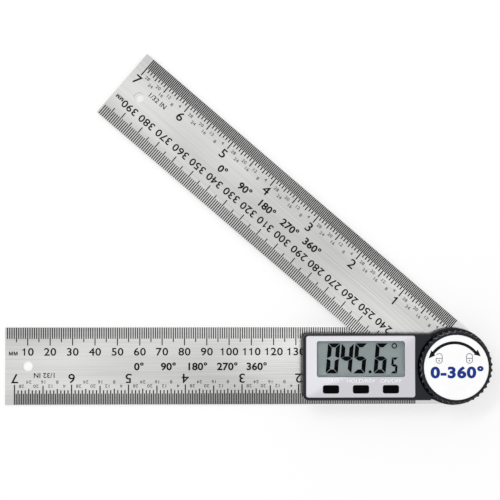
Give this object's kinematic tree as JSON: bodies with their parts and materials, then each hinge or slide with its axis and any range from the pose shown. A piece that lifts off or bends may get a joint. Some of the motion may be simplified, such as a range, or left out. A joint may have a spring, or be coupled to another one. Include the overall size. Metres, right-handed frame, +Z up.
{
  "type": "digital angle ruler",
  "caption": "Digital angle ruler: two graduated steel rules on one pivot, a display housing with buttons over the pivot, and a fluted knob that locks the angle.",
  "frame": {"origin": "on the pivot axis, in the plane of the base blade's underside, which lies on the table", "axes": "+Z up along the pivot axis towards the display, -X along the base blade to its free end, +Y across it towards the side that the swinging blade opens to"},
  "size_m": [0.2172, 0.1572, 0.0141],
  "materials": {
    "blade_steel": "stainless sheet, fine grain along the blade",
    "turned_steel": "turned bright steel",
    "slip_nylon": "natural nylon sheet",
    "case_black": "moulded black plastic with a fine grain",
    "screw_steel": "zinc plated",
    "bezel_silver": "silver painted plastic",
    "lens_clear": "clear moulded window",
    "lcd_glass": "grey green reflective display",
    "zebra_rubber": "layered silicone",
    "board_green": "solder mask over laminate",
    "chip_black": "moulded resin",
    "switch_metal": "tinned steel can",
    "ribbon_amber": "polyimide film",
    "contact_brass": "plated spring strip",
    "spring_steel": "hardened and tempered",
    "rotor_board": "etched copper on laminate",
    "knob_black": "moulded black plastic",
    "insert_brass": "turned brass",
    "label_white": "printed white disc",
    "button_black": "black silicone rubber",
    "cell_steel": "nickel plated can"
  },
  "bodies": {
    "base": {"base_blade": "blade_steel", "pivot_stud": "turned_steel", "lower_slip_washer": "slip_nylon", "upper_slip_washer": "slip_nylon", "housing": "case_black", "housing_cover": "case_black", "cover_screws": "screw_steel", "bezel": "bezel_silver", "display_lens": "lens_clear", "lcd_panel": "lcd_glass", "zebra_strips": "zebra_rubber", "main_board": "board_green", "controller_chip": "chip_black", "button_switches": "switch_metal", "stator_board": "board_green", "board_ribbon": "ribbon_amber", "battery_contact_negative": "contact_brass", "battery_contact_positive": "contact_brass", "spring_washer": "spring_steel", "thrust_washer": "turned_steel", "retaining_clip": "spring_steel"},
    "swing_arm": {"swing_blade": "blade_steel", "encoder_rotor": "rotor_board"},
    "knob": {"lock_knob": "knob_black", "knob_insert": "insert_brass", "knob_label": "label_white"},
    "zero_key": {"zero_button": "button_black"},
    "hold_key": {"hold_button": "button_black"},
    "power_key": {"power_button": "button_black"},
    "tray": {"battery_tray": "case_black", "coin_cell": "cell_steel"}
  },
  "joints": [
    {"name": "blade_swing", "type": "hinge", "parent": "base", "child": "swing_arm", "pos_m": [0, 0, 0.0019], "axis": [0, 0, 1], "continuous": true},
    {"name": "knob_turn", "type": "hinge", "parent": "base", "child": "knob", "pos_m": [0, 0, 0.01], "axis": [0, 0, 1], "range_deg": [0, 90]},
    {"name": "zero_press", "type": "slide", "parent": "base", "child": "zero_key", "axis": [0, 0, -1], "range_m": [0, 0.0003], "stiffness_N_per_m": 200, "springref_m": -0.0005},
    {"name": "hold_press", "type": "slide", "parent": "base", "child": "hold_key", "axis": [0, 0, -1], "range_m": [0, 0.0003], "stiffness_N_per_m": 200, "springref_m": -0.0005},
    {"name": "power_press", "type": "slide", "parent": "base", "child": "power_key", "axis": [0, 0, -1], "range_m": [0, 0.0003], "stiffness_N_per_m": 200, "springref_m": -0.0005},
    {"name": "tray_slide", "type": "slide", "parent": "base", "child": "tray", "axis": [0, -1, 0], "range_m": [0, 0.0235]}
  ]
}
